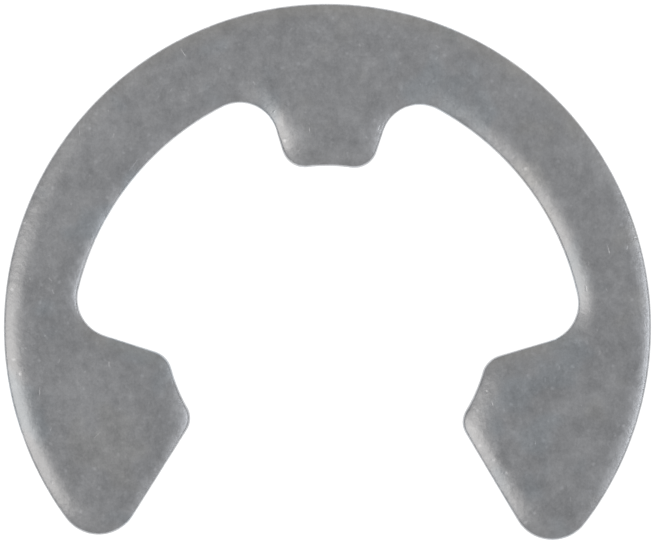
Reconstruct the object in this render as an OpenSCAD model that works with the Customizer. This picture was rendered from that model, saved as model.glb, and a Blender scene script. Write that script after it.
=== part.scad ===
/* [Sizes that name the ring] */

// Diameter at the bottom of the shaft groove that the ring snaps into.
groove_d = 19; // [18.6:0.05:19.4]

// How much smaller than the groove the circle through the three lugs is before fitting.
spring_bite = 0.25; // [0.1:0.05:0.5]

// Diameter over the outside of the ring.
outer_d = 37.6; // [37:0.1:38.6]

// Thickness of the spring steel strip.
thickness = 1.75; // [1.5:0.05:2.2]

// Clear width of the mouth, between the tips of the two lower lugs.
mouth_w = 15.82; // [15.4:0.02:16.2]

/* [Spring arms] */

// Width of each arm at its side, level with the shaft's axis.
arm_w_side = 3.98; // [3.5:0.02:4.4]

// Width of each arm further up, where it is nearly widest.
arm_w_top = 4.64; // [4.3:0.02:4.9]

// Angle above the level at which arm_w_top is measured.
top_gauge = 60; // [52:1:64]

// Radius of the arms' inner edge, which is flatter than the outside.
relief_r = 16.17; // [15.5:0.01:17]

// Radius of the outer corner at the free end of each arm.
toe_r = 2.35; // [1.9:0.01:2.8]

// Angle between the straight face of the free end and the middle plane.
toe_lean = 31.45; // [27:0.05:36]

/* [Lower lugs] */

// Radius of the tip, between the free end's straight face and the seat.
tip_r = 1.26; // [1.1:0.01:1.6]

// Angle below the level at which the seat gives way to the shoulder.
seat_end = 15.6; // [12:0.1:19]

// Radius of the shoulder, between the seat and the lug's upper flank.
shoulder_r = 1.47; // [1.1:0.01:1.8]

// Rise of the upper flank from the level.
flank_rise = 17.05; // [12:0.05:22]

// Radius of the root, between the upper flank and the arm's inner edge.
root_r = 2.26; // [1.8:0.01:2.8]

/* [Top lug] */

// Angle from the middle plane at which the seat gives way to the corner.
top_seat_half = 7.73; // [6:0.01:9.5]

// Radius of the corners beside the seat.
top_corner_r = 1.36; // [1.1:0.01:1.6]

// Lean of the lug's flanks from the middle plane.
top_flank_lean = 17.4; // [12:0.1:23]

// Radius of the roots, between the flanks and the arms' inner edges.
top_root_r = 2.2; // [1.8:0.01:2.4]

/* [Stamped edge] */

// Width over which the upper face bends down into a straight edge, on the die's side.
roll_w = 1.38; // [1.1:0.01:1.45]

// Depth of that bend.
roll_h = 0.43; // [0.3:0.01:0.46]

// Radius of the tight, lower part of the bend.
roll_r = 0.2; // [0.1:0.01:0.25]

// Radius of the circle that the bend follows round each toe, along the edge.
toe_bend_r = 3.08; // [2.9:0.01:3.5]

// Share of each lower lug's upper flank beside which the bend is already widening.
lug_bend_share = 0.66; // [0.3:0.01:0.9]

// Angle before the end of each upper root at which the bend starts to widen.
top_bend_turn = 11.8; // [4:0.1:16]

// Share of the wall between the bend and the tumbled edge that broke and wasn't sheared.
broken_share = 0.4; // [0.25:0.01:0.6]

// How far the broken zone leans in at the lower face.
broken_in = 0.05; // [0:0.01:0.1]

// Radius that tumbling leaves along the edge of the lower face.
burr_r = 0.12; // [0.06:0.01:0.25]

/* [Smoothness] */

// Angle of one step along the wide arcs.
arc_step = 2.5; // [2:0.5:4]

// Angle of one step round a corner or a root.
corner_step = 9; // [8:1:15]

// Angle of one step round the tumbled edge and the tight bend.
edge_step = 23; // [18:1:45]

// Angle of one step along the wide bend.
bend_step = 6; // [5:1:12]

// Length of one step along a flank beside a wide arc.
flank_step = 0.5; // [0.4:0.05:1.2]

/* [Hidden] */

// The shaft's axis stands at the origin, the top lug points back at it from +Y,
// and the mouth opens towards -Y. The face whose edge is bent is the upper one. It lay on
// the die when the punch pushed the blank through.
axis = [0, 0];
outer_r = outer_d / 2;
seat_r = (groove_d - spring_bite) / 2;

// The lugs are drawn this much too long, and one true cylinder then finishes all three seats.
seat_stock = 0.005;
lug_r = seat_r - seat_stock;

function polar(r, a) = [r * cos(a), r * sin(a)];
function angle_of(v) = atan2(v.y, v.x);
function left_of(u) = [-u.y, u.x];
function unit(v) = v / norm(v);

// The point where a line from p along u leaves the circle of radius r about c.
function leaves(p, u, c, r) =
    let (w = p - c, b = w * u)
    p + (sqrt(b * b - w * w + r * r) - b) * u;

// Lower lug: the tip rolls between the seat and the straight face of the free end,
// and the toe's corner rolls between that face and the outside.
tip_x = mouth_w / 2 + tip_r;
tip_c = [tip_x, -sqrt(pow(lug_r + tip_r, 2) - pow(tip_x, 2))];
toe_u = polar(1, 90 + toe_lean);
toe_n = left_of(toe_u);
toe_c = leaves(tip_c + (tip_r - toe_r) * toe_n, -toe_u, axis, outer_r - toe_r);
toe_start = toe_c + toe_r * toe_n;
toe_end = tip_c + tip_r * toe_n;

// The arm's inner edge is one circle through a point at its side and one further up.
side_p = polar(outer_r - arm_w_side, 0);
upper_p = polar(outer_r - arm_w_top, top_gauge);
half_chord = (upper_p - side_p) / 2;
relief_c = side_p + half_chord
    + sqrt(pow(relief_r, 2) - half_chord * half_chord) * left_of(unit(half_chord));

// The lug's upper flank leaves the shoulder and runs out into the root.
flank_u = polar(1, flank_rise);
flank_n = left_of(flank_u);
shoulder_c = polar(lug_r + shoulder_r, -seat_end);
root_c = leaves(shoulder_c + (shoulder_r + root_r) * flank_n, flank_u,
    relief_c, relief_r - root_r);
flank_start = shoulder_c + shoulder_r * flank_n;
flank_end = root_c - root_r * flank_n;

// Top lug, right half.
top_u = polar(1, -90 - top_flank_lean);
top_n = left_of(top_u);
top_c = polar(lug_r + top_corner_r, 90 - top_seat_half);
top_root_c = leaves(top_c + (top_corner_r + top_root_r) * top_n, -top_u,
    relief_c, relief_r - top_root_r);

// The flat part of the upper face has an outline of its own. Along the arms it runs
// parallel to the edge, at the distance roll_w. Round each toe and each lug it is one wide
// arc, because the bend grows in width and depth at an outward corner.
toe_flat_c = leaves(toe_end - toe_bend_r * toe_n, -toe_u, axis, outer_r - toe_bend_r);
toe_flat_r = toe_bend_r - roll_w;

// At the lower lug the arc touches the upper flank at flank_foot, and the toe's straight face.
flank_foot = flank_start + lug_bend_share * (flank_end - flank_start);
lug_bend_r = toe_n * (toe_end - flank_foot) / (1 - toe_n * flank_n);
lug_flat_c = flank_foot - lug_bend_r * flank_n;
lug_flat_r = lug_bend_r - roll_w;

// At the top lug the arc touches the flat's outline round both roots.
top_touch_u = polar(1, 180 - top_flank_lean - top_bend_turn);
top_flat_c = [0, top_root_c.y - top_root_c.x * top_touch_u.y / top_touch_u.x];
top_flat_r = norm(top_flat_c - top_root_c) - top_root_r - roll_w;

// The outline runs clockwise as a list of pairs: a point, and the direction that points
// out of the metal there. Each arc joins its neighbours at a tangent, and its last point
// is the first of whatever follows.
function turn(from, to) = ((to - from) % 360 + 360) % 360;
function corner(c, r, from, to, step = corner_step) =
    let (a = angle_of(from), sweep = turn(angle_of(to), a), n = ceil(sweep / step))
    [for (i = [0 : n - 1]) let (d = polar(1, a - sweep * i / n)) [c + r * d, d]];
function hollow(c, r, from, to, step = arc_step) =
    let (a = angle_of(from), sweep = turn(a, angle_of(to)), n = ceil(sweep / step))
    [for (i = [0 : n - 1]) let (d = polar(1, a + sweep * i / n)) [c + r * d, -d]];
function flank(from, to, d) =
    let (n = ceil(norm(to - from) / flank_step))
    [for (i = [0 : n - 1]) [from + (to - from) * i / n, d]];

// Each point of the outline gets its partner on the outline of the flat: straight in from
// a straight edge, or towards the centre of the wide arc round a corner.
function square(e) = [for (p = e) [p[0], p[0] - roll_w * p[1]]];
function toward(c, r, e) = [for (p = e) [p[0], c + r * unit(p[0] - c)]];

half = concat(
    square(corner(axis, outer_r, [0, 1], toe_flat_c, arc_step)),
    toward(toe_flat_c, toe_flat_r, concat(
        corner(axis, outer_r, toe_flat_c, toe_c, arc_step),
        corner(toe_c, toe_r, toe_c, toe_n),
        flank(toe_start, toe_flat_c + toe_bend_r * toe_n, toe_n)
    )),
    square([[toe_flat_c + toe_bend_r * toe_n, toe_n]]),
    toward(lug_flat_c, lug_flat_r, concat(
        flank(lug_flat_c + lug_bend_r * toe_n, toe_end, toe_n),
        corner(tip_c, tip_r, toe_n, -tip_c),
        hollow(axis, lug_r, tip_c, shoulder_c),
        corner(shoulder_c, shoulder_r, -shoulder_c, flank_n),
        flank(flank_start, flank_foot, flank_n)
    )),
    square(concat(
        [[flank_foot, flank_n]],
        hollow(root_c, root_r, -flank_n, root_c - relief_c, corner_step),
        hollow(relief_c, relief_r, root_c - relief_c, top_root_c - relief_c),
        hollow(top_root_c, top_root_r, top_root_c - relief_c, top_touch_u, corner_step)
    )),
    toward(top_flat_c, top_flat_r, concat(
        hollow(top_root_c, top_root_r, top_touch_u, -top_n, corner_step),
        flank(top_root_c - top_root_r * top_n, top_c + top_corner_r * top_n, top_n),
        corner(top_c, top_corner_r, top_n, -top_c),
        hollow(axis, lug_r, top_c, [0, 1]),
        [[[0, lug_r], [0, -1]]]
    ))
);
function mirrored(e) = [for (p = e) [-p.x, p.y]];
outline = concat(half, [for (i = [len(half) - 2 : -1 : 1]) mirrored(half[i])]);

// Section of the edge, as distance in from the outline and height: the tumbled lower edge,
// the broken zone, the sheared wall, then a tight and a wide bend that meet at a tangent.
function bend(c, r, from, to, step = edge_step) =
    let (n = ceil((from - to) / step))
    [for (i = [0 : n]) c + polar(r, from + (to - from) * i / n)];

wide_r = (pow(roll_w, 2) + pow(roll_h, 2) - 2 * roll_w * roll_r) / (2 * (roll_h - roll_r));
wide_c = [roll_w, thickness - wide_r];
tight_c = [roll_r, thickness - roll_h];
meet = angle_of(tight_c - wide_c);
wide_bend = bend(wide_c, wide_r, meet, 90, bend_step);

upper = concat(bend(tight_c, roll_r, 180, meet), [for (i = [1 : len(wide_bend) - 1]) wide_bend[i]]);

// The lower edge is tangent to the broken zone, which leans in below the height h.
function lower(h) =
    let (slant = norm([broken_in, h]))
    let (x = (burr_r * slant - (burr_r - h) * broken_in) / h)
    concat(bend([x, burr_r], burr_r, 270, 180 + atan(broken_in / h)), [[0, h]]);

// The rim reaches this far under the flat faces, so that it and the flat are one piece.
rim_lap = 0.08;

// The section at one point of the outline. The bend is stretched to reach the partner, in
// width and in depth, and the wall takes what is left.
function section(e) =
    let (far = norm(e[1] - e[0]), u = (e[1] - e[0]) / far, k = far / roll_w)
    [for (s = concat(
        [[far + rim_lap, 0]],
        lower(burr_r + broken_share * (thickness - k * roll_h - burr_r)),
        [for (b = upper) [b.x * k, thickness - (thickness - b.y) * k]],
        [[far + rim_lap, thickness]]
    )) [e[0].x + s.x * u.x, e[0].y + s.x * u.y, s.y]];

// The edge's section, carried once round the outline as a closed loop of triangles.
module rim() {
    n = len(outline);
    m = len(section(outline[0]));
    polyhedron(
        [for (e = outline, s = section(e)) s],
        [for (i = [0 : n - 1], j = [0 : m - 1])
            let (a = i * m + j, b = (i + 1) % n * m + j)
            let (c = (i + 1) % n * m + (j + 1) % m, d = i * m + (j + 1) % m)
            each [[a, b, c], [a, c, d]]]
    );
}

module flat() {
    linear_extrude(thickness) polygon([for (e = outline) e[1]]);
}

module shaft_cut() {
    translate([0, 0, -thickness]) cylinder(h = 3 * thickness, r = seat_r, $fn = 144);
}

module retaining_ring() {
    color([0.52, 0.53, 0.54]) difference() {
        union() {
            flat();
            rim();
        }
        shaft_cut();
    }
}

retaining_ring();
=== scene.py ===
# %% [markdown]
# # A retaining ring for a shaft
#
# The ring is a flat, open ring of spring steel. It is pushed sideways into a groove in a shaft,
# and its three inward lugs grip the bottom of that groove. It is stamped from strip in one stroke,
# so the whole object is one piece. Three things make it look real: the outline, the rounded edge
# that the stamping leaves, and the mottled grey of tumbled steel.
#
# This lesson builds that piece as a surface, gives it its steel, and lights it the way small parts
# are photographed for a catalogue.

import math

import bpy
import numpy as np
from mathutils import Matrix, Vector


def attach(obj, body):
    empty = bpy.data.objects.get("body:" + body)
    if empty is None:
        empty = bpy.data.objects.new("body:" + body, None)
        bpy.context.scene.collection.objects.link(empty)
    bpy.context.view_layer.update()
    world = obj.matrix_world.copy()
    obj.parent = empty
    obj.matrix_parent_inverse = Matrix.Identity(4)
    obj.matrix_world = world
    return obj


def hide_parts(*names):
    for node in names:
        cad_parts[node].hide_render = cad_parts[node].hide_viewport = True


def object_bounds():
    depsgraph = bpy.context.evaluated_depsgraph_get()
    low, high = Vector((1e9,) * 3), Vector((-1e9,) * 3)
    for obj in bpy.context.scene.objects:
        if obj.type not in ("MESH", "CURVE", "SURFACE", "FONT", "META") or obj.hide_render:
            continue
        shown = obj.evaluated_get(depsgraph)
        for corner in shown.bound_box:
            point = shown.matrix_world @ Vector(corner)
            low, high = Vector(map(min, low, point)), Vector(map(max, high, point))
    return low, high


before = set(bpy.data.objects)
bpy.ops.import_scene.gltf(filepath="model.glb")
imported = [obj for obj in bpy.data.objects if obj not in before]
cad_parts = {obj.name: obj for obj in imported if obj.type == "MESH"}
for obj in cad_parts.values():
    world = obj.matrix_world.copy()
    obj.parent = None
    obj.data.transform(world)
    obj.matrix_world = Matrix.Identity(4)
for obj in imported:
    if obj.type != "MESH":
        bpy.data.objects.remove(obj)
frame_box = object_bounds()
print("the frame is", [round(1000 * (b - a), 3) for a, b in zip(*frame_box)], "mm")

# %% [markdown]
# ## Sizes
#
# Such a ring is drawn in millimetres and degrees, so the lesson uses them too. They become metres
# only when the mesh is made. The ring lies on its lower face with the axis of its shaft at the
# origin, the top lug on the +Y side and the mouth towards -Y.
#
# The outside and the thickness are read from the frame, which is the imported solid. The others are
# the driving dimensions of the drawing, for the spring arms, the toes at their free ends, the two
# lower lugs and the top lug. A lean is an angle from the middle plane, and a rise one from the
# level.

# %% Sizes of the ring
outer_r, thickness = np.round(1000 * np.array(frame_box[1])[1:], 3)
groove_d, spring_bite = 19.0, 0.25
seat_r = (groove_d - spring_bite) / 2
mouth_w = 15.82

arm_w_side, arm_w_top, top_gauge = 3.98, 4.64, 60.0
relief_r = 16.17
toe_r, toe_lean = 2.35, 31.45
tip_r, seat_end, shoulder_r = 1.26, 15.6, 1.47
flank_rise, root_r = 17.05, 2.26
top_seat_half, top_corner_r = 7.73, 1.36
top_flank_lean, top_root_r = 17.4, 2.2
print("outside", 2 * outer_r, "mm, seats", 2 * seat_r, "mm, thickness", thickness, "mm")

# %% Sizes of the stamped edge
roll_w, roll_h, roll_r = 1.38, 0.43, 0.2
toe_bend_r, lug_bend_share, top_bend_turn = 3.08, 0.66, 11.8
broken_share, broken_in, burr_r = 0.4, 0.05, 0.12
print("the face bends down by", roll_h, "mm over", roll_w, "mm")

# %% [markdown]
# ## The outline
#
# The outline could be traced over a picture, but light would show every wobble of the hand. The
# tool that stamps the ring is drawn as a chain of arcs and straight flanks, each tangent to its
# neighbours, and light runs round the real edge without a kink. So half of the outline is worked
# out by the same rules, and no point of it is typed in.
#
# One small rule does most of the work. An arc that touches a line and a circle has its centre on
# two known tracks: a parallel to the line, and a circle that is smaller by the arc's radius.

# %% Plane geometry
AXIS = np.zeros(2)


def polar(r, degrees):
    """The point at distance r from the origin in the direction of an angle."""
    a = np.radians(degrees)
    return np.stack([r * np.cos(a), r * np.sin(a)], -1)


def left_of(u):
    """The direction u turned a quarter turn to the left."""
    return np.array([-u[1], u[0]])


def angle_of(v):
    """The direction of v as an angle in degrees."""
    return math.degrees(math.atan2(v[1], v[0]))


def leaves(p, u, c, r):
    """Where a line from p along u leaves the circle about c: the larger root of |p + t u - c| = r."""
    w = p - c
    b = w @ u
    return p + (math.sqrt(b * b - w @ w + r * r) - b) * u


# %% Centres of the toe, the tip and the relief
tip_x = mouth_w / 2 + tip_r
tip_c = np.array([tip_x, -math.sqrt((seat_r + tip_r) ** 2 - tip_x**2)])
toe_u = polar(1, 90 + toe_lean)
toe_n = left_of(toe_u)
toe_c = leaves(tip_c + (tip_r - toe_r) * toe_n, -toe_u, AXIS, outer_r - toe_r)

side_p = polar(outer_r - arm_w_side, 0)
half_chord = (polar(outer_r - arm_w_top, top_gauge) - side_p) / 2
bow = math.sqrt(relief_r**2 - half_chord @ half_chord)
relief_c = side_p + half_chord + bow * left_of(half_chord / np.linalg.norm(half_chord))
print("toe", toe_c.round(3), "tip", tip_c.round(3), "relief", relief_c.round(3))

# %% Centres of the shoulder, the roots and the top lug
flank_u = polar(1, flank_rise)
flank_n = left_of(flank_u)
shoulder_c = polar(seat_r + shoulder_r, -seat_end)
above_flank = shoulder_c + (shoulder_r + root_r) * flank_n
root_c = leaves(above_flank, flank_u, relief_c, relief_r - root_r)

top_u = polar(1, -90 - top_flank_lean)
top_n = left_of(top_u)
top_c = polar(seat_r + top_corner_r, 90 - top_seat_half)
beside_top = top_c + (top_corner_r + top_root_r) * top_n
top_root_c = leaves(beside_top, -top_u, relief_c, relief_r - top_root_r)
print("shoulder", shoulder_c.round(3), "root", root_c.round(3), "top root", top_root_c.round(3))

# %% [markdown]
# ## Where the face starts to bend
#
# When the punch presses the strip through the die, the metal beside the cut is pulled down before
# it shears, so the face bends down towards the edge. Along a straight edge the bend is as wide as
# roll_w. Round an outward corner it is wider and deeper, because more metal pulls on less edge.
#
# A bevel modifier would give the same width everywhere. So the flat part of the face gets an
# outline of its own. It runs parallel to the edge along the arms, and takes one wide arc round
# each toe and each lug. The centres of those arcs follow from what they touch: the outside and the
# toe's straight face, that face and the lug's upper flank, and, at the top lug, the two roots
# beside it.

# %% Centres of the wide arcs
toe_p = tip_c + tip_r * toe_n
flank_p = shoulder_c + shoulder_r * flank_n
root_p = root_c - root_r * flank_n
toe_flat_c = leaves(toe_p - toe_bend_r * toe_n, -toe_u, AXIS, outer_r - toe_bend_r)
foot_toe = toe_flat_c + toe_bend_r * toe_n

foot_flank = flank_p + lug_bend_share * (root_p - flank_p)
lug_bend_r = toe_n @ (toe_p - foot_flank) / (1 - toe_n @ flank_n)
lug_flat_c = foot_flank - lug_bend_r * flank_n
foot_lug = lug_flat_c + lug_bend_r * toe_n

top_touch = 180 - top_flank_lean - top_bend_turn
across_touch, up_touch = polar(1, top_touch)
top_flat_c = np.array([0, top_root_c[1] - top_root_c[0] * up_touch / across_touch])
top_flat_r = np.linalg.norm(top_flat_c - top_root_c) - top_root_r - roll_w
print("wide arcs at", toe_flat_c.round(3), lug_flat_c.round(3), top_flat_c.round(3))

# %% [markdown]
# ## Two borders
#
# The outline is kept as two borders of the metal. The outer border is the round outside. The inner
# border holds the lugs and everything between them. Both run from the middle of the toe up to the
# middle plane.
#
# Each row of a border holds a point of the edge and its partner on the outline of the flat. Where
# the two are parallel, the partner stands square to the edge. Beside a wide arc, it stands on the
# line to that arc's centre.

# %% Pieces of a border
BULGE, HOLLOW = 1, -1
corner_step, toe_step, arm_step, outside_step = 4.0, 1.0, 0.6, 0.1
flank_step = 0.15


def arc(c, r, start, end, way, step=corner_step):
    """Points on a circle about c between two angles, each with its outward direction.

    The outward direction is the radius, or its opposite where the edge is hollow.
    """
    d = polar(1, np.linspace(start, end, 1 + math.ceil(abs(end - start) / step)))
    return np.hstack([c + r * d, way * d])


def straight(a, b, n):
    """Points along a flank from a to b, all with the outward direction n."""
    t = np.linspace(0, 1, 1 + math.ceil(np.linalg.norm(b - a) / flank_step))[:, None]
    return np.hstack([a + t * (b - a), np.tile(n, (len(t), 1))])


# %% Partners on the flat
def square(*parts):
    """Partners at the distance roll_w, straight in from the edge."""
    e = np.vstack(parts)
    return np.hstack([e[:, :2], e[:, :2] - roll_w * e[:, 2:]])


def toward(c, r, *parts):
    """Partners on the circle of radius r about c, each on the line from the edge to the centre."""
    p = np.vstack(parts)[:, :2]
    away = p - c
    return np.hstack([p, c + r * away / np.linalg.norm(away, axis=1, keepdims=True)])


def lengths(border):
    """Distance along a border to each of its points: the running sum of its steps."""
    return np.r_[0, np.cumsum(np.hypot(*np.diff(border[:, :2], axis=0).T))]


def join(*parts):
    """One border from its pieces, without the points that two neighbours share."""
    e = np.vstack(parts)
    return e[np.r_[True, np.hypot(*np.diff(e[:, :2], axis=0).T) > 1e-6]]


# %% The outer border
toe_out, toe_in = angle_of(toe_c), angle_of(toe_n)
toe_mid = (toe_out + toe_in) / 2
wide_start = angle_of(toe_flat_c)

outer_border = join(
    toward(
        toe_flat_c,
        toe_bend_r - roll_w,
        arc(toe_c, toe_r, toe_mid, toe_out, BULGE, toe_step),
        arc(AXIS, outer_r, toe_out, wide_start, BULGE, outside_step),
    ),
    square(arc(AXIS, outer_r, wide_start, 90, BULGE, outside_step)),
)
print("outer border", lengths(outer_border)[-1].round(2), "mm", len(outer_border), "points")

# %% The inner border
relief_in, relief_out = angle_of(root_c - relief_c), angle_of(top_root_c - relief_c)
tip_end = angle_of(-tip_c) - 360

toe_part = toward(
    toe_flat_c,
    toe_bend_r - roll_w,
    arc(toe_c, toe_r, toe_mid, toe_in, BULGE),
    straight(toe_c + toe_r * toe_n, foot_toe, toe_n),
)
lug_part = toward(
    lug_flat_c,
    lug_bend_r - roll_w,
    straight(foot_lug, toe_p, toe_n),
    arc(tip_c, tip_r, toe_in, tip_end, BULGE),
    arc(AXIS, seat_r, angle_of(tip_c), -seat_end, HOLLOW, toe_step),
    arc(shoulder_c, shoulder_r, 180 - seat_end, 90 + flank_rise, BULGE),
    straight(flank_p, foot_flank, flank_n),
)
arm_part = square(
    straight(foot_flank, root_p, flank_n),
    arc(root_c, root_r, flank_rise - 90, relief_in, HOLLOW),
    arc(relief_c, relief_r, relief_in, relief_out, HOLLOW, arm_step),
    arc(top_root_c, top_root_r, relief_out, top_touch, HOLLOW),
)
top_part = toward(
    top_flat_c,
    top_flat_r,
    arc(top_root_c, top_root_r, top_touch, 180 - top_flank_lean, HOLLOW),
    straight(top_root_c - top_root_r * top_n, top_c + top_corner_r * top_n, top_n),
    arc(top_c, top_corner_r, -top_flank_lean, -90 - top_seat_half, BULGE),
    arc(AXIS, seat_r, 90 - top_seat_half, 90, HOLLOW, toe_step),
)
toe_face = square(straight(foot_toe, foot_lug, toe_n))
inner_border = join(toe_part, toe_face, lug_part, arm_part, top_part)
widths = np.hypot(*(inner_border[:, 2:] - inner_border[:, :2]).T)
print("inner border", lengths(inner_border)[-1].round(2), "mm", len(inner_border), "points")
print("the bend is", widths.min().round(2), "to", widths.max().round(2), "mm wide inside")

# %% [markdown]
# ## Rungs across the metal
#
# The faces between the two borders are ruled with rungs, like a ladder bent round the shaft. Each
# point of the inner border gets a rung, and the question is where its other end stands on the
# outer border. Sharing out both lengths evenly would cross the rungs beside the lugs. A few
# landmarks answer it better: the rungs fan out round the lugs and stand square to the arms between
# them. Between two landmarks the outer ends are spread evenly.

# %% Matching the borders
# Each landmark is a point of the inner border and the angle of its partner on the outside.
landmarks = [
    (toe_c + toe_r * toe_n, toe_out),
    (foot_lug, -30),
    (tip_c + tip_r * polar(1, tip_end), -22.5),
    (polar(seat_r, -seat_end), -16.5),
    (flank_p, -11),
    (root_p, -4.5),
    (relief_c + relief_r * polar(1, relief_in), 7.5),
    (relief_c + relief_r * polar(1, relief_out), 64),
    (top_root_c - top_root_r * top_n, 76.5),
    (top_c + top_corner_r * top_n, 79.5),
    (polar(seat_r, 90 - top_seat_half), 85),
    (polar(seat_r, 90), 90),
]


def near(border, p):
    """Distance along a border to its point nearest to p."""
    return lengths(border)[np.argmin(np.hypot(*(border[:, :2] - p).T))]


inner_marks = [0] + [near(inner_border, p) for p, _ in landmarks]
outer_marks = [0] + [near(outer_border, polar(outer_r, a)) for _, a in landmarks]
stand = np.interp(lengths(inner_border), inner_marks, outer_marks)
outer_ends = np.stack([np.interp(stand, lengths(outer_border), c) for c in outer_border.T], 1)
print(len(stand), "rungs on each half")

# %% [markdown]
# ## The stamped edge
#
# Seen in section, the edge has the four parts that every blanked edge has. The face bends down in
# a wide curve, then a tight one. Below that, the punch sheared a smooth upright wall. Lower down
# the strip broke before the punch reached it, and the broken zone leans in a little. Tumbling has
# rounded the last corner.
#
# The section is worked out once, as distance in from the edge and height. The upper part is
# stretched along each rung to reach its partner, so the bend grows in width and depth at corners.

# %% The section
tight_steps, wide_steps, corner_steps = 6, 12, 6


def bend(c, r, start, end, count):
    """Points on an arc of the section, from angle start to angle end."""
    return np.array(c) + polar(r, np.linspace(start, end, count + 1))


wide_r = (roll_w**2 + roll_h**2 - 2 * roll_w * roll_r) / (2 * (roll_h - roll_r))
wide_c = np.array([roll_w, thickness - wide_r])
tight_c = np.array([roll_r, thickness - roll_h])
meet = angle_of(tight_c - wide_c)
tight_bend = bend(tight_c, roll_r, 180, meet, tight_steps)
wide_bend = bend(wide_c, wide_r, meet, 90, wide_steps)
upper = np.vstack([tight_bend, wide_bend[1:]])
print("steepest slope of the wide curve", round(meet - 90, 1), "degrees")


# %% The lower corner
def lower_edge(h):
    """The tumbled corner and the broken zone above it, for each height h of that zone.

    The zone leans in by broken_in from its top at (0, h). The corner is an arc of radius burr_r
    that touches the leaning line and the lower face, so its centre lies burr_r from both.
    """
    h = h[:, None]
    x = (burr_r * np.hypot(broken_in, h) - (burr_r - h) * broken_in) / h
    lean = np.degrees(np.arctan2(broken_in, h))
    corner = polar(burr_r, 270 + (lean - 90) * np.linspace(0, 1, corner_steps + 1))
    corner += np.stack([x, np.full_like(x, burr_r)], -1)
    return np.concatenate([corner, np.stack([0 * h, h], -1)], 1)


# %% [markdown]
# The steel will look different on each part of the edge, so every row of the section also gets a
# number that says how far round the edge it lies. A material can read such a number as an
# attribute of the mesh, which needs no picture and no unwrapping.

# %% Zones of the section
corner_top, broken_top, sheared_top, flat_zone = 1, 2, 3, 4.0
zones = np.r_[
    np.linspace(0, corner_top, corner_steps + 1), broken_top, sheared_top + upper[:, 0] / roll_w
]
print("zones: corner to 1, broken to 2, sheared to 3, bend to 4, in", len(zones), "rows")

# %% [markdown]
# ## The surface
#
# The surface is a grid of two parameters. One runs along the metal from toe to toe, rung by rung.
# The other runs once round the section: up the outer edge, across the face, down the inner edge
# and back under the ring. Only half of the ring is worked out, and the other half is its mirror
# image. At each toe the rungs shrink to nothing, so there the two edges are one and the same.


# %% The edge along a border
def edge_points(border):
    """The section at each row of a border: an array of rungs by section points by x, y, z.

    The upper part is stretched by the ratio of the partner's distance to roll_w, in width and in
    depth. Of the wall that is left under it, the share broken_share is the broken zone.
    """
    p, partner = border[:, None, :2], border[:, None, 2:]
    far = np.linalg.norm(partner - p, axis=-1, keepdims=True)
    stretch = far / roll_w
    wall = thickness - roll_h * stretch[:, 0, 0] - burr_r
    low = lower_edge(burr_r + broken_share * wall)
    high = [0, thickness] + stretch * (upper - [0, thickness])
    section = np.concatenate([low, high], 1)
    return np.concatenate([p + section[..., :1] * (partner - p) / far, section[..., 1:]], -1)


outer_edge, inner_edge = edge_points(outer_ends), edge_points(inner_border)
print("one edge is", inner_edge.shape[0], "by", inner_edge.shape[1], "points")

# %% Both halves
face_gaps, under_gaps = 14, 8


def across(a, b, gaps):
    """Points between two rows of points, spread over a number of gaps, without the two ends."""
    t = np.linspace(0, 1, gaps + 1)[1:-1, None]
    return a[:, None] * (1 - t) + b[:, None] * t


face = across(outer_edge[:, -1], inner_edge[:, -1], face_gaps)
underside = across(inner_edge[:, 0], outer_edge[:, 0], under_gaps)
half = np.concatenate([outer_edge, face, inner_edge[:, ::-1], underside], 1)
surface = np.concatenate([half, half[-2::-1] * [-1, 1, 1]])
zone_round = np.r_[zones, np.full(face_gaps - 1, flat_zone), zones[::-1], np.zeros(under_gaps - 1)]
print("grid of", surface.shape[0], "by", surface.shape[1], "points")

# %% [markdown]
# Numbering the points makes the grid a mesh. At each toe the inner edge takes the numbers of the
# outer edge, every point across the face takes the number of the last point of the bend, and every
# point underneath that of the first. The squares there then lose a corner or vanish, and the
# surface is closed.


# %% Faces
def faces_of(rungs, around, side, under):
    """Quads and triangles of the grid, closed round the section and closed at both toes.

    side is the number of section points on one edge, and under the number of points between the
    two edges underneath. A quad whose neighbours share a number becomes a triangle, and one that
    keeps only two numbers is left out.
    """
    number = np.arange(rungs * around).reshape(rungs, around)
    inner_end = around - under
    for end in (0, -1):
        number[end, side : inner_end - side] = number[end, side - 1]
        number[end, inner_end - side : inner_end] = number[end, side - 1 :: -1]
        number[end, inner_end:] = number[end, 0]
    ring = np.hstack([number, number[:, :1]])
    quads = np.stack([ring[:-1, :-1], ring[1:, :-1], ring[1:, 1:], ring[:-1, 1:]], -1)
    quads = quads.reshape(-1, 4)
    same = quads == np.roll(quads, -1, 1)
    whole = quads[~same.any(1)]
    cut = same.sum(1) == 1
    return whole, quads[cut][~same[cut]].reshape(-1, 3)


quads, triangles = faces_of(*surface.shape[:2], len(zones), under_gaps - 1)
print(len(quads), "quads and", len(triangles), "triangles")

# %% [markdown]
# Blender takes a mesh as a list of points and a list of faces. Points that no face uses are
# dropped first, because the toes have left some over. Smooth shading hides the small steps of the
# grid, and no edge needs to be marked sharp: on the real ring every corner of the section is round
# or nearly flat.


# %% The ring as an object
def mesh_object(name, points, *faces, **values):
    """An object from an array of points in millimetres and arrays of face numbers.

    Each further keyword is an array with one value for each point, kept as an attribute.
    """
    used, numbers = np.unique(np.concatenate([f.ravel() for f in faces]), return_inverse=True)
    cut = np.cumsum([f.size for f in faces])[:-1]
    renumbered = [n.reshape(f.shape).tolist() for n, f in zip(np.split(numbers, cut), faces)]
    mesh = bpy.data.meshes.new(name)
    mesh.from_pydata((points[used] / 1000).tolist(), [], sum(renumbered, []))
    mesh.shade_smooth()
    for title, value in values.items():
        kept = mesh.attributes.new(title, "FLOAT", "POINT")
        kept.data.foreach_set("value", value[used].astype(np.float32))
    body = bpy.data.objects.new(name, mesh)
    bpy.context.scene.collection.objects.link(body)
    return body


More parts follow.
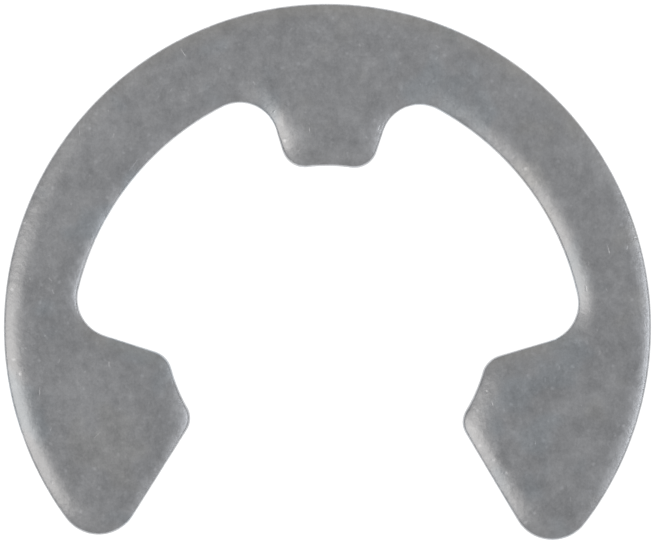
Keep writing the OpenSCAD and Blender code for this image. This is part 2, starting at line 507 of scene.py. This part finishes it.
zone = np.tile(zone_round, (len(surface), 1)).ravel()
ring = mesh_object("ring", surface.reshape(-1, 3), quads, triangles, zone=zone)
corners = np.array([v.co for v in ring.data.vertices])
print("ring", (1000 * (corners.max(0) - corners.min(0))).round(3), "mm")

# %% Ring on the frame
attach(ring, "root")
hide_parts("retaining_ring")
print(ring.name, "rides on the root body and stands for the solid")

# %% [markdown]
# ## Steel
#
# The ring is bare spring steel, tumbled in a barrel with small stones. That takes off the burr and
# leaves a matt grey face, mottled at every size from a few millimetres down to the finest grain.
# One flat grey would look like plastic. So the face's tone is a sum of noises, each with a size and
# a share of its own, and the same noises roughen the surface a little and tilt it by a degree or
# two, which breaks up the light on the bends.
#
# All patterns read the object's own coordinates, turned into millimetres, so that a noise's scale
# is simply the number of its spots in a millimetre. The helpers below keep each pattern to one
# line: one makes and links a node, and the others name what the node does.


# %% Node helpers
def add(tree, kind, inputs=None, **settings):
    """A node with its settings. Each input is linked where it is a socket and else set."""
    made = tree.nodes.new("ShaderNode" + kind)
    for name, value in settings.items():
        setattr(made, name, value)
    for name, value in (inputs or {}).items():
        if isinstance(value, bpy.types.NodeSocket):
            tree.links.new(value, made.inputs[name])
        else:
            made.inputs[name].default_value = value
    return made


def plus(tree, value, times, more):
    """value times a number, plus another value."""
    return add(tree, "Math", {0: value, 1: times, 2: more}, operation="MULTIPLY_ADD").outputs[0]


def total(tree, start, *shares):
    """A start value plus, for each pair of a value and a share, the one times the other."""
    for value, share in shares:
        start = plus(tree, value, share, start)
    return start


def product(tree, a, b):
    """One value times another."""
    return add(tree, "Math", {0: a, 1: b}, operation="MULTIPLY").outputs[0]


def rest(tree, value):
    """1 less the value, which is what is left where value is a share of the surface."""
    return plus(tree, value, -1.0, 1.0)


def size_of(tree, value):
    """The value without its sign."""
    return add(tree, "Math", {0: value}, operation="ABSOLUTE").outputs[0]


# %% Pattern helpers
def between(tree, value, low, high, to_low=0.0, to_high=1.0):
    """0 where value is below low, 1 above high and a smooth rise between, or two other values."""
    ends = {"Value": value, "From Min": low, "From Max": high, "To Min": to_low, "To Max": to_high}
    return add(tree, "MapRange", ends, interpolation_type="SMOOTHSTEP").outputs["Result"]


def squeezed(tree, where, x, y, z):
    """Coordinates with each axis scaled, which draws a pattern out along the others."""
    return add(tree, "Mapping", {"Vector": where, "Scale": (x, y, z)}).outputs["Vector"]


def spots(tree, where, per_mm, detail, roughness):
    """Soft noise about 0, with a given number of spots in a millimetre and finer ones on top."""
    seed = {"Vector": where, "Scale": per_mm, "Detail": detail, "Roughness": roughness}
    return plus(tree, add(tree, "TexNoise", seed).outputs["Fac"], 1.0, -0.5)


# %% Steel: where a pattern is
steel = bpy.data.materials.new("tumbled spring steel")
steel.use_nodes = True
tree = steel.node_tree
shader = tree.nodes["Principled BSDF"]

millimetres = squeezed(tree, add(tree, "TexCoord").outputs["Object"], 1000, 1000, 1000)
zone_here = add(tree, "Attribute", attribute_name="zone").outputs["Fac"]
print("patterns are measured in millimetres on", steel.name)

# %% [markdown]
# ### The mottled face
#
# Up close, the face has no single grain size: its spots are as strong at a tenth of a millimetre
# as at two. A noise with many octaves and a high roughness does just that, and it carries most of
# the tone. Around it go soft clouds a few millimetres wide, a faint grain along the strip's rolling
# direction, and pale flecks where a noise rises above a limit. The face is also painted a shade
# paler towards the top lug, a gradient of painted light across the face.

# %% Steel: the mottled face
clouds = spots(tree, millimetres, per_mm=0.3, detail=1.0, roughness=0.6)
mottle_at = squeezed(tree, millimetres, 1, 0.88, 1)
mottle = spots(tree, mottle_at, per_mm=0.8, detail=5.5, roughness=0.92)
strip_at = squeezed(tree, millimetres, 9, 1.3, 3)
strip_grain = spots(tree, strip_at, per_mm=1.0, detail=2.0, roughness=0.7)
fleck_noise = spots(tree, millimetres, per_mm=2.3, detail=2.0, roughness=0.6)
flecks = between(tree, fleck_noise, 0.06, 0.2)
# painted light: the tone grows with Y, so the face is painted a shade paler towards the top lug
painted_light_towards_top = add(tree, "SeparateXYZ", {"Vector": millimetres}).outputs["Y"]

face_shares = [
    (strip_grain, 0.08),
    (mottle, 1.0),
    (clouds, 0.14),
    (flecks, 0.08),
    # the painted light gradient towards the top lug
    (painted_light_towards_top, 0.0018),
]
face_tone = total(tree, 0.966, *face_shares)
print("the face's tone has", len(face_shares), "layers")

# %% [markdown]
# ### The cut edge
#
# The edge all round tells how the ring was cut. The sheared wall is smooth and drawn upright, the
# way the punch slid along it. The broken zone below is coarse and duller. The line between the two
# wanders, because the strip doesn't break at the same depth everywhere. Both are found by the zone
# number that every point of the mesh carries, and the wandering comes from adding a noise to it.

# %% Steel: zones of the edge
wander = spots(tree, squeezed(tree, millimetres, 1, 1, 0.2), per_mm=1.5, detail=2.0, roughness=0.6)
zone_wandering = plus(tree, wander, 0.9, zone_here)
is_wall = between(tree, zone_here, corner_top - 0.05, corner_top + 0.1)
is_upper = between(tree, zone_wandering, broken_top - 0.08, broken_top + 0.08)
is_bend = between(tree, zone_here, sheared_top - 0.03, sheared_top + 0.12)
is_sheared = product(tree, is_upper, rest(tree, is_bend))
is_broken = product(tree, is_wall, product(tree, rest(tree, is_upper), rest(tree, is_bend)))
print("the break's line wanders by half a zone at the most")

# %% Steel: grain of the edge
drawn_at = squeezed(tree, millimetres, 9, 9, 0.35)
drawn = spots(tree, drawn_at, per_mm=1.0, detail=3.0, roughness=0.7)
coarse_at = squeezed(tree, millimetres, 1, 1, 1.6)
coarse = spots(tree, coarse_at, per_mm=4.0, detail=3.0, roughness=0.75)
broken_grain = product(tree, is_broken, coarse)
sheared_lines = product(tree, is_sheared, drawn)

edge_shares = [(is_broken, -0.12), (broken_grain, 0.5), (is_sheared, 0.02), (sheared_lines, 0.25)]
tone = total(tree, face_tone, *edge_shares)
print("the edge adds", len(edge_shares), "layers")

# %% [markdown]
# ### Marks
#
# Stones and other rings also leave marks. Most are specks: small dents whose shine is painted into
# the colour as a paler spot, a painted glint. A few are short scratches. They could be painted by
# hand, but then each new ring would need its own painting. A Voronoi texture scatters cells over
# the surface instead, and each kind of mark takes one place in a cell at the most.


# %% Specks and scratches
def specks(tree, where, per_mm, radius):
    """Round spots at the middles of scattered cells.

    The cells are drawn out upwards, so a level face cuts each spot at a chance height, and that
    gives every size up to the radius.
    """
    cells = {"Vector": squeezed(tree, where, 1, 1, 0.25), "Scale": per_mm}
    away = add(tree, "TexVoronoi", cells).outputs["Distance"]
    return between(tree, away, 0, radius * per_mm, 1, 0)


def scratches(tree, where, per_mm, length, width, share):
    """Short straight lines, one in each cell that is drawn by lot, near the strip's own direction.

    A cell's colour gives three numbers by lot: one turns the line, one says whether the cell has
    a line at all, and one shortens it.
    """
    cell = add(tree, "TexVoronoi", {"Vector": where, "Scale": per_mm}, voronoi_dimensions="2D")
    lots = add(tree, "SeparateColor", {"Color": cell.outputs["Color"]}).outputs
    ends = {0: where, 1: cell.outputs["Position"]}
    apart = add(tree, "VectorMath", ends, operation="SUBTRACT").outputs[0]
    turn = plus(tree, lots[0], 1.6, -0.8)
    turned = add(tree, "VectorRotate", {"Vector": apart, "Angle": turn}, rotation_type="Z_AXIS")
    place = add(tree, "SeparateXYZ", {"Vector": turned.outputs[0]}).outputs
    beside = between(tree, size_of(tree, place[0]), 0, width, 1, 0)
    along = between(tree, plus(tree, size_of(tree, place[1]), 1, lots[2]), length / 2, length, 1, 0)
    return product(tree, product(tree, beside, along), between(tree, lots[1], share, share + 0.01, 1, 0))


# %% Steel: marks
# specks are small dents in the relief and roughness, and their paler colour is a painted glint
speck_and_glint = specks(tree, millimetres, per_mm=1.1, radius=0.17)
dash = scratches(tree, millimetres, per_mm=1.3, length=0.2, width=0.09, share=0.45)
scratch = scratches(tree, millimetres, per_mm=0.45, length=0.6, width=0.05, share=0.25)
# the specks' share of 0.27 paints a glint into the colour
marked = total(tree, tone, (scratch, 0.25), (dash, 0.15), (speck_and_glint, 0.27))
print("three kinds of marks: specks, dashes and scratches")

# %% [markdown]
# ### Colour, sheen and relief
#
# The grey isn't neutral. It is slightly blue, bluer in some patches and nearly plain in others.
# Metal takes its colour from Base Color alone, so the tone multiplies a tint there. The same
# layers set the roughness, where the sheared wall is smoother and the broken zone duller, and
# raise or sink the surface through a bump of a few hundredths of a millimetre.

# %% Steel: colour
FACTOR, COLOUR_A, COLOUR_B, COLOUR_OUT = 0, 6, 7, 2
steel_tint = (0.494, 0.504, 0.526, 1)
cool_tint = (0.479, 0.507, 0.54, 1)
plain_tint = (0.5, 0.506, 0.516, 1)


def mixed(tree, share, a, b, way="MIX"):
    """Two colours, the second in the given share. A Mix node has its colours at fixed places."""
    ends = {FACTOR: share, COLOUR_A: a, COLOUR_B: b}
    return add(tree, "Mix", ends, data_type="RGBA", blend_type=way).outputs[COLOUR_OUT]


patches = spots(tree, millimetres, per_mm=0.23, detail=2.0, roughness=0.6)
tint = mixed(tree, between(tree, patches, 0.05, 0.17), steel_tint, cool_tint)
tint = mixed(tree, between(tree, patches, -0.17, -0.07, 1, 0), tint, plain_tint)
colour = mixed(tree, 1.0, tint, marked, "MULTIPLY")
tree.links.new(colour, shader.inputs["Base Color"])
print("steel reflects about", steel_tint[:3])

# %% Steel: sheen and relief
rough = total(
    tree, 0.37, (speck_and_glint, -0.05), (mottle, 0.3), (is_sheared, -0.07), (is_broken, 0.12)
)
tree.links.new(rough, shader.inputs["Roughness"])

waves = spots(tree, millimetres, per_mm=1.6, detail=3.0, roughness=0.6)
relief_depth = 0.000024
marks_relief = total(tree, waves, (speck_and_glint, -0.2), (dash, -0.3), (scratch, -0.3))
relief = total(tree, marks_relief, (broken_grain, 1.2), (sheared_lines, 0.25))
bump = {"Height": relief, "Strength": 1.0, "Distance": relief_depth}
tree.links.new(add(tree, "Bump", bump).outputs[0], shader.inputs["Normal"])

shader.inputs["Metallic"].default_value = 1.0
ring.data.materials.append(steel)
print("steel has", len(tree.nodes), "nodes")

# %% [markdown]
# ## Table
#
# The ring lies on white paper that is lit from behind, so the paper is pure white in the picture
# and the ring throws no shadow on it. A plain white material would need very strong lamps to look
# like that, and they would burn out the steel. So the paper glows a little by itself.
#
# It lies a hair lower than the ring, because two faces in one plane flicker. It is also see-through
# from below, which lets a camera under the table show the lower face of the ring.

# %% Table
table_half, table_drop = 3000.0, 0.02
paper_white, paper_glow = 0.8, 0.75

table_corners = np.array([[-1, -1], [1, -1], [1, 1], [-1, 1]]) * table_half
table_top = np.column_stack([table_corners, np.full(4, -table_drop)])
table = mesh_object("table", table_top, np.array([[0, 1, 2, 3]]))
print("table of", 2 * table_half / 1000, "m,", table_drop, "mm under the ring")

# %% Paper
paper = bpy.data.materials.new("lit white table")
paper.use_nodes = True
white = paper.node_tree.nodes["Principled BSDF"]
white.inputs["Base Color"].default_value = (paper_white, paper_white, paper_white, 1)
white.inputs["Roughness"].default_value = 0.9
white.inputs["Emission Color"].default_value = (1, 1, 1, 1)
white.inputs["Emission Strength"].default_value = paper_glow

from_below = add(paper.node_tree, "NewGeometry").outputs["Backfacing"]
clear = add(paper.node_tree, "BsdfTransparent").outputs["BSDF"]
one_way = add(paper.node_tree, "MixShader", {0: from_below, 1: white.outputs["BSDF"], 2: clear})
surface_end = paper.node_tree.nodes["Material Output"].inputs["Surface"]
paper.node_tree.links.new(one_way.outputs[0], surface_end)
table.data.materials.append(paper)
print("paper glows with", paper_glow)

# %% [markdown]
# ## Light
#
# The bright bands on the bends tell where the light came from, because a rounded metal edge
# mirrors the room. A broad warm light stands on the left, a low strip on the right, and pale walls
# beyond and before the table add a little. Each light is named by where it stands: azimuth from
# +X towards +Y, and elevation above the table. The room itself is an even dark grey, which is what
# the flat face mirrors.

# %% Light
light_distance = 1.0
room_grey = 0.42


def soft_light(name, azimuth, elevation, size, strength, colour):
    """An area light on a sphere round the ring, facing its centre."""
    a, e = math.radians(azimuth), math.radians(elevation)
    data = bpy.data.lights.new(name, "AREA")
    data.shape = "RECTANGLE"
    data.size, data.size_y = size
    data.energy = strength
    data.color = colour
    lamp = bpy.data.objects.new(name, data)
    away = np.array([math.cos(e) * math.cos(a), math.cos(e) * math.sin(a), math.sin(e)])
    lamp.location = light_distance * away
    lamp.rotation_euler = (math.radians(90) - e, 0, a + math.radians(90))
    bpy.context.scene.collection.objects.link(lamp)
    print(name, "at", np.round(light_distance * away, 2), "m")


soft_light("window left", 195.5, 50, (0.573, 0.573), 1.3, (1.055, 1, 0.93))
soft_light("lamp right", 355.7, 40, (0.6, 0.14), 0.97, (0.98, 1, 1.02))
soft_light("far wall", 85, 42, (2.2, 0.7), 0.36, (1.25, 1, 0.55))
soft_light("near wall", 290, 42, (1.6, 0.7), 0.2, (1.1, 1, 0.85))

world = bpy.data.worlds.new("room")
world.use_nodes = True
background = world.node_tree.nodes["Background"]
background.inputs["Color"].default_value = (room_grey, room_grey, room_grey, 1)
bpy.context.scene.world = world
bpy.context.scene.view_settings.view_transform = "Standard"

# %% [markdown]
# ## Camera
#
# The ring was photographed from straight above through a long lens, so that both toes show their
# true shape and no wall is seen. The camera's distance follows from how wide the picture is at the
# ring's upper face. The ring lies turned by two thirds of a degree in the picture, and the camera
# is turned by as much.

# %% Camera
view_width, lens, sensor = 0.038064, 567, 36
view_centre = (-0.000006, 0.00322)
view_turn = 0.0118

camera_data = bpy.data.cameras.new("camera")
camera_data.sensor_width = sensor
camera_data.lens = lens
camera_data.clip_start, camera_data.clip_end = 0.05, 20
camera = bpy.data.objects.new("camera", camera_data)
camera.location = (*view_centre, thickness / 1000 + view_width * lens / sensor)
camera.rotation_euler = (0, 0, view_turn)
bpy.context.scene.collection.objects.link(camera)
bpy.context.scene.camera = camera
print("camera", round(camera.location.z, 3), "m above the table")
